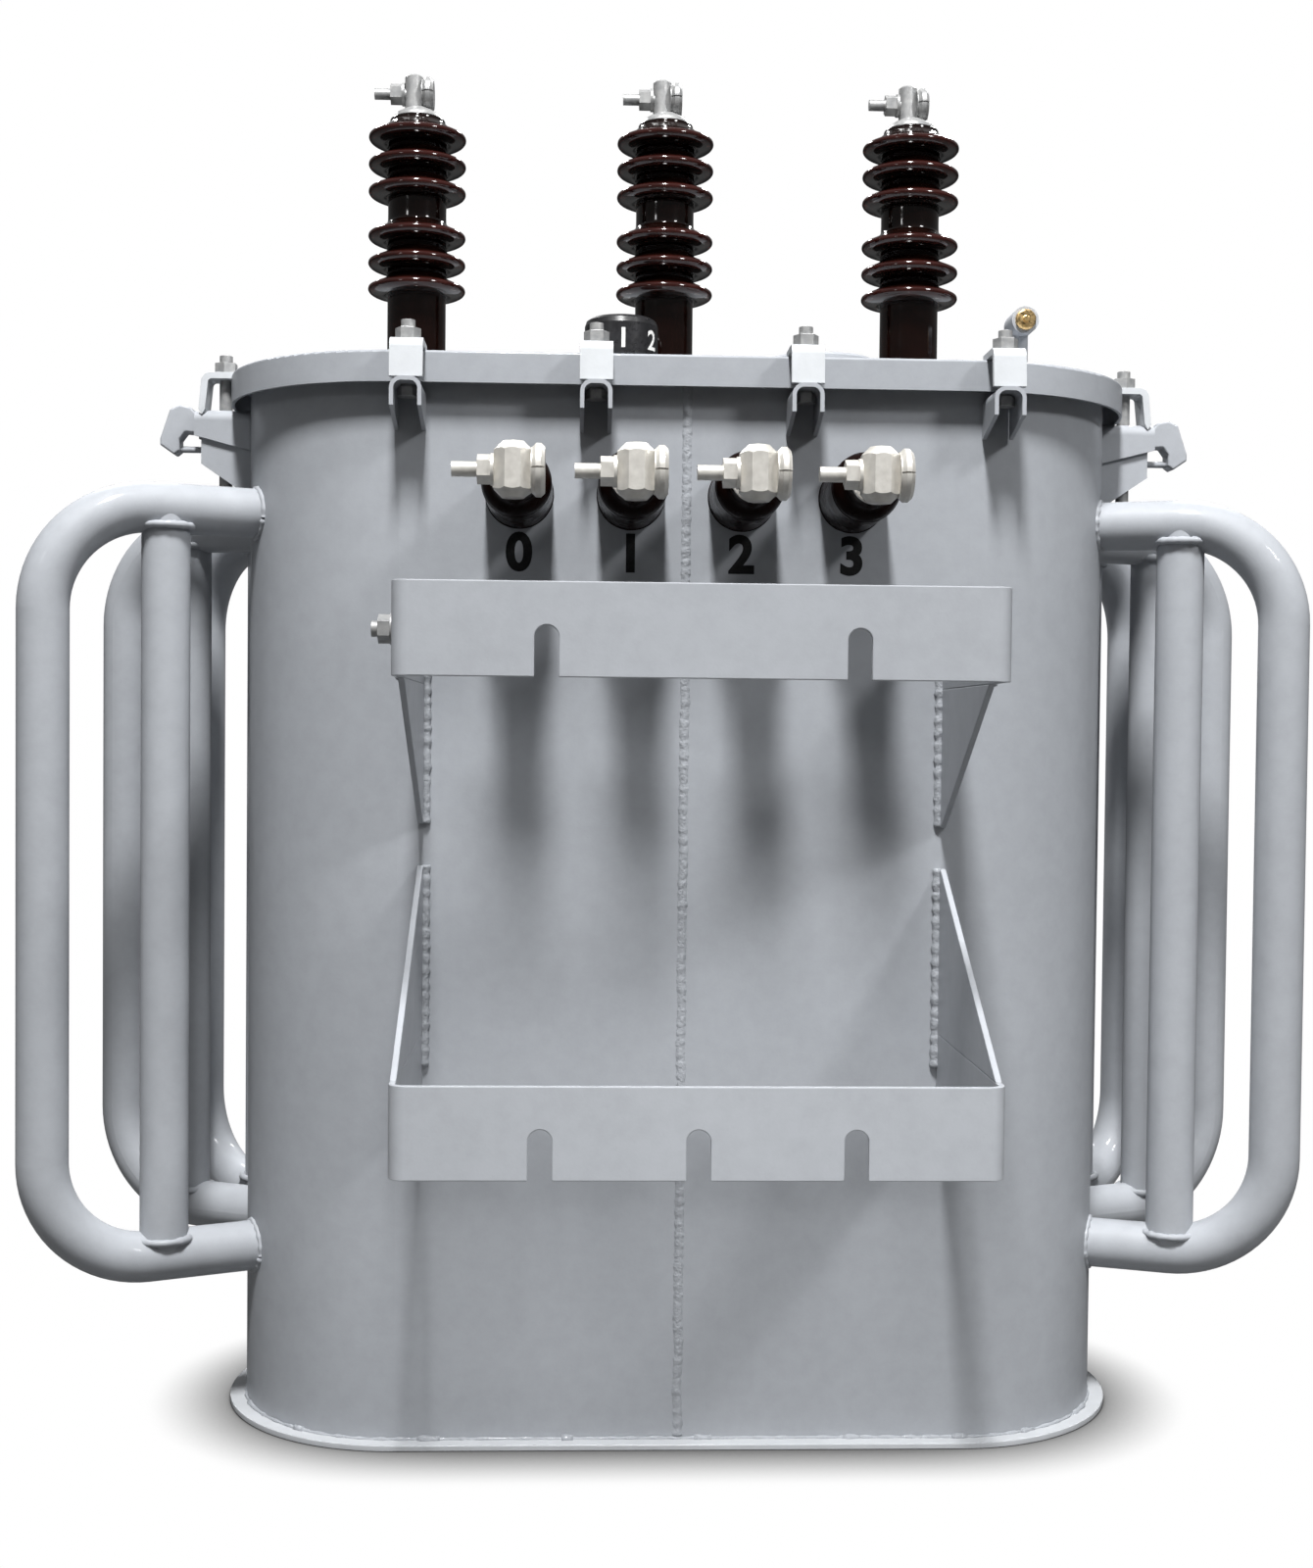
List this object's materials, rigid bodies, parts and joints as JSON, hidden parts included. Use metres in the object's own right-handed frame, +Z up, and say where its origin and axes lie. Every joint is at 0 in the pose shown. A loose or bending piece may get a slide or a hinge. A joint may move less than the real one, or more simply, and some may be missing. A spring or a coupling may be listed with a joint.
{
  "type": "power transformer",
  "caption": "Oil-filled three-phase distribution transformer for pole mounting: oval steel tank, tubular cooling frames, porcelain bushings, slotted brackets.",
  "frame": {"origin": "middle of the underside of the base plate, on the ground", "axes": "+X along the tank to the right, -Y towards the low-voltage terminals and pole brackets, +Z up"},
  "size_m": [1.1459, 0.6539, 1.23],
  "materials": {
    "grey_paint": "gloss",
    "porcelain": "gloss",
    "tinned_terminal": "satin",
    "galvanised_steel": "satin",
    "black_knob": "gloss",
    "brass": "satin"
  },
  "bodies": {
    "transformer": {"base_plate": "grey_paint", "tank_wall": "grey_paint", "tank_rim": "grey_paint", "lid": "grey_paint", "radiator_loop_right_front": "grey_paint", "radiator_riser_right_front": "grey_paint", "radiator_loop_right_middle": "grey_paint", "radiator_riser_right_middle": "grey_paint", "radiator_loop_right_rear": "grey_paint", "radiator_riser_right_rear": "grey_paint", "radiator_loop_left_front": "grey_paint", "radiator_riser_left_front": "grey_paint", "radiator_loop_left_middle": "grey_paint", "radiator_riser_left_middle": "grey_paint", "radiator_loop_left_rear": "grey_paint", "radiator_riser_left_rear": "grey_paint", "upper_bracket": "grey_paint", "lower_bracket": "grey_paint", "bracket_gussets": "grey_paint", "earth_terminal": "galvanised_steel", "clamp_seats": "grey_paint", "clamp_straps": "grey_paint", "clamp_bolts": "galvanised_steel", "lifting_hook_right": "grey_paint", "lifting_hook_left": "grey_paint", "hv_bushing_left": "porcelain", "hv_bushing_middle": "porcelain", "hv_bushing_right": "porcelain", "hv_terminal_left": "galvanised_steel", "hv_terminal_middle": "galvanised_steel", "hv_terminal_right": "galvanised_steel", "hv_flanges": "grey_paint", "lv_bushing_0": "porcelain", "lv_bushing_1": "porcelain", "lv_bushing_2": "porcelain", "lv_bushing_3": "porcelain", "lv_terminal_0": "tinned_terminal", "lv_terminal_1": "tinned_terminal", "lv_terminal_2": "tinned_terminal", "lv_terminal_3": "tinned_terminal", "tap_changer_base": "grey_paint", "handhole_cover": "grey_paint", "relief_valve": "grey_paint", "relief_valve_face": "brass"},
    "tap_changer_knob": {"tap_changer_knob": "black_knob"}
  },
  "joints": [
    {"name": "tap_changer_turn", "type": "hinge", "parent": "transformer", "child": "tap_changer_knob", "pos_m": [-0.056, -0.071, 0.975], "axis": [0, 0, 1], "range_deg": [0, 120]}
  ]
}
